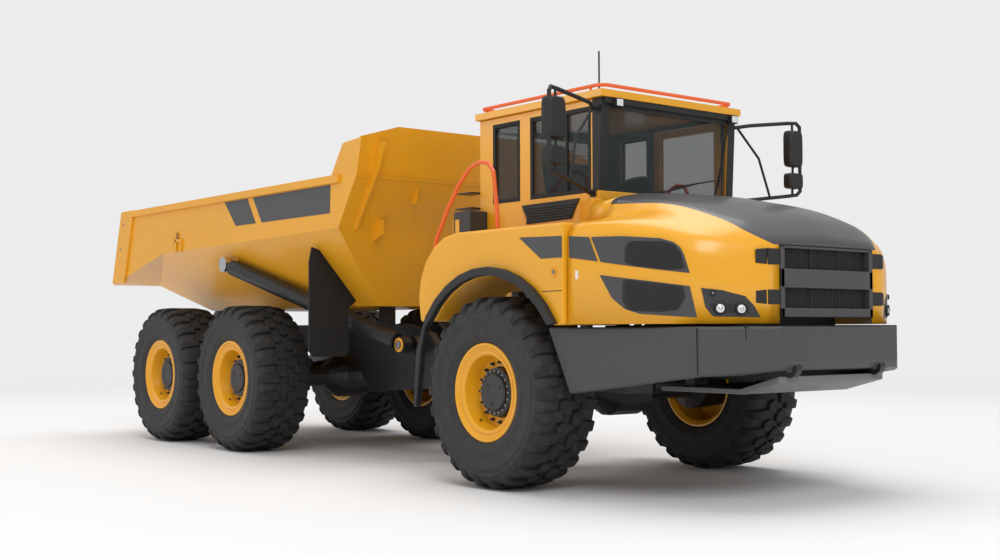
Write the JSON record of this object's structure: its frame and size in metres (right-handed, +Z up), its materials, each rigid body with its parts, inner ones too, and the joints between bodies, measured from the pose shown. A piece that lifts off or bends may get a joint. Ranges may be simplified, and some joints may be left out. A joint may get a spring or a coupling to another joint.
{
  "type": "articulated dump truck",
  "caption": "Articulated dump truck with a tipping open bed, an enclosed cab, a tilting hood and frame steering at a centre hitch.",
  "frame": {"origin": "middle of the length and width, on the ground under the tyres", "axes": "+X forward, +Y to the truck's left, +Z up"},
  "size_m": [10.02, 3.09, 3.58],
  "materials": {
    "yellow_paint": "semi-gloss yellow paint",
    "grey_paint": "satin dark grey paint",
    "black_paint": "satin black paint",
    "orange_paint": "semi-gloss orange paint",
    "black_plastic": "matte moulded plastic and rubber sheet",
    "tyre_rubber": "matte black tyre",
    "tinted_glass": "grey-tinted safety glass",
    "polished_steel": "polished rod",
    "seat_fabric": "woven dark grey"
  },
  "bodies": {
    "front_chassis": {"front_frame": "black_paint", "front_axle": "black_paint", "engine_block": "black_paint", "front_bumper": "grey_paint", "skid_plate": "grey_paint", "front_fender_left": "yellow_paint", "front_fender_right": "yellow_paint", "fender_flare_left": "black_plastic", "fender_flare_right": "black_plastic", "cab_shell": "yellow_paint", "windshield": "tinted_glass", "rear_window": "tinted_glass", "side_window_right": "tinted_glass", "quarter_window_right": "tinted_glass", "quarter_window_left": "tinted_glass", "cab_roof": "yellow_paint", "operator_seat": "seat_fabric", "steering_console": "black_plastic", "roof_rail": "orange_paint", "mirror_left": "black_paint", "mirror_right": "black_paint", "grab_rail_left": "orange_paint", "grab_rail_right": "orange_paint", "exhaust_stack": "grey_paint", "hydraulic_tank": "yellow_paint", "equipment_box": "grey_paint", "access_steps": "black_paint"},
    "hood": {"hood": "yellow_paint", "grille": "grey_paint"},
    "door": {"cab_door": "yellow_paint", "door_glass": "tinted_glass"},
    "hitch": {"hitch_block": "black_paint"},
    "rear_chassis": {"rear_frame": "black_paint", "middle_axle": "black_paint", "rear_axle": "black_paint"},
    "bed": {"dump_bed": "yellow_paint", "mud_flap_left": "black_plastic", "mud_flap_right": "black_plastic"},
    "front_left_wheel": {"front_left_tyre": "tyre_rubber", "front_left_rim": "yellow_paint"},
    "front_right_wheel": {"front_right_tyre": "tyre_rubber", "front_right_rim": "yellow_paint"},
    "middle_left_wheel": {"middle_left_tyre": "tyre_rubber", "middle_left_rim": "yellow_paint"},
    "middle_right_wheel": {"middle_right_tyre": "tyre_rubber", "middle_right_rim": "yellow_paint"},
    "rear_left_wheel": {"rear_left_tyre": "tyre_rubber", "rear_left_rim": "yellow_paint"},
    "rear_right_wheel": {"rear_right_tyre": "tyre_rubber", "rear_right_rim": "yellow_paint"},
    "left_hoist_barrel": {"hoist_barrel_left": "black_paint"},
    "left_hoist_rod": {"hoist_rod_left": "polished_steel"},
    "left_steering_barrel": {"steering_barrel_left": "black_paint"},
    "left_steering_rod": {"steering_rod_left": "polished_steel"},
    "right_hoist_barrel": {"hoist_barrel_right": "black_paint"},
    "right_hoist_rod": {"hoist_rod_right": "polished_steel"},
    "right_steering_barrel": {"steering_barrel_right": "black_paint"},
    "right_steering_rod": {"steering_rod_right": "polished_steel"}
  },
  "joints": [
    {"name": "steering_articulation", "type": "hinge", "parent": "front_chassis", "child": "hitch", "pos_m": [1.4, 0, 0.86], "axis": [0, 0, 1], "range_deg": [-45, 45]},
    {"name": "frame_oscillation", "type": "hinge", "parent": "hitch", "child": "rear_chassis", "pos_m": [0.86, 0, 0.86], "axis": [1, 0, 0], "range_deg": [-15, 15]},
    {"name": "bed_tipping", "type": "hinge", "parent": "rear_chassis", "child": "bed", "pos_m": [-4.09, 0, 1.42], "axis": [0, -1, 0], "range_deg": [0, 70]},
    {"name": "hood_opening", "type": "hinge", "parent": "front_chassis", "child": "hood", "pos_m": [4.86, 0, 1.345], "axis": [0, 1, 0], "range_deg": [0, 70]},
    {"name": "door_opening", "type": "hinge", "parent": "front_chassis", "child": "door", "pos_m": [3.18, 0.822, 2.4], "axis": [0, 0, -1], "range_deg": [0, 80]},
    {"name": "front_left_wheel_spin", "type": "hinge", "parent": "front_chassis", "child": "front_left_wheel", "pos_m": [2.66, 1.235, 0.775], "axis": [0, 1, 0], "continuous": true},
    {"name": "front_right_wheel_spin", "type": "hinge", "parent": "front_chassis", "child": "front_right_wheel", "pos_m": [2.66, -1.235, 0.775], "axis": [0, 1, 0], "continuous": true},
    {"name": "middle_left_wheel_spin", "type": "hinge", "parent": "rear_chassis", "child": "middle_left_wheel", "pos_m": [-1.72, 1.235, 0.775], "axis": [0, 1, 0], "continuous": true},
    {"name": "middle_right_wheel_spin", "type": "hinge", "parent": "rear_chassis", "child": "middle_right_wheel", "pos_m": [-1.72, -1.235, 0.775], "axis": [0, 1, 0], "continuous": true},
    {"name": "rear_left_wheel_spin", "type": "hinge", "parent": "rear_chassis", "child": "rear_left_wheel", "pos_m": [-3.46, 1.235, 0.775], "axis": [0, 1, 0], "continuous": true},
    {"name": "rear_right_wheel_spin", "type": "hinge", "parent": "rear_chassis", "child": "rear_right_wheel", "pos_m": [-3.46, -1.235, 0.775], "axis": [0, 1, 0], "continuous": true},
    {"name": "left_hoist_swing", "type": "hinge", "parent": "rear_chassis", "child": "left_hoist_barrel", "pos_m": [0.33, 0.66, 1.135], "axis": [0.4165, 0.7522, 0.5106], "range_deg": [-1, 12.94]},
    {"name": "left_hoist_stroke", "type": "slide", "parent": "left_hoist_barrel", "child": "left_hoist_rod", "axis": [-0.9028, 0.2762, 0.3295], "range_m": [-0.01, 2.3361]},
    {"name": "left_steering_cylinder_swing", "type": "hinge", "parent": "front_chassis", "child": "left_steering_barrel", "pos_m": [2.46, 0.72, 0.86], "axis": [0, 0, 1], "range_deg": [-2, 2]},
    {"name": "left_steering_cylinder_stroke", "type": "slide", "parent": "left_steering_barrel", "child": "left_steering_rod", "axis": [-0.9776, -0.2106, 0], "range_m": [-0.355, 0.355]},
    {"name": "right_hoist_swing", "type": "hinge", "parent": "rear_chassis", "child": "right_hoist_barrel", "pos_m": [0.33, -0.66, 1.135], "axis": [-0.4165, 0.7522, -0.5106], "range_deg": [-1, 12.94]},
    {"name": "right_hoist_stroke", "type": "slide", "parent": "right_hoist_barrel", "child": "right_hoist_rod", "axis": [-0.9028, -0.2762, 0.3295], "range_m": [-0.01, 2.3361]},
    {"name": "right_steering_cylinder_swing", "type": "hinge", "parent": "front_chassis", "child": "right_steering_barrel", "pos_m": [2.46, -0.72, 0.86], "axis": [0, 0, 1], "range_deg": [-2, 2]},
    {"name": "right_steering_cylinder_stroke", "type": "slide", "parent": "right_steering_barrel", "child": "right_steering_rod", "axis": [-0.9776, 0.2106, 0], "range_m": [-0.355, 0.355]}
  ],
  "couplings": [
    {"joint": "left_hoist_swing", "follows": "bed_tipping", "ratio": 0.17059},
    {"joint": "left_hoist_stroke", "follows": "bed_tipping", "m_per_rad": 1.9039},
    {"joint": "left_steering_cylinder_swing", "follows": "steering_articulation", "ratio": 0.02},
    {"joint": "left_steering_cylinder_stroke", "follows": "steering_articulation", "m_per_rad": 0.439},
    {"joint": "right_hoist_swing", "follows": "bed_tipping", "ratio": 0.17059},
    {"joint": "right_hoist_stroke", "follows": "bed_tipping", "m_per_rad": 1.9039},
    {"joint": "right_steering_cylinder_swing", "follows": "steering_articulation", "ratio": 0.02},
    {"joint": "right_steering_cylinder_stroke", "follows": "steering_articulation", "m_per_rad": -0.439}
  ]
}
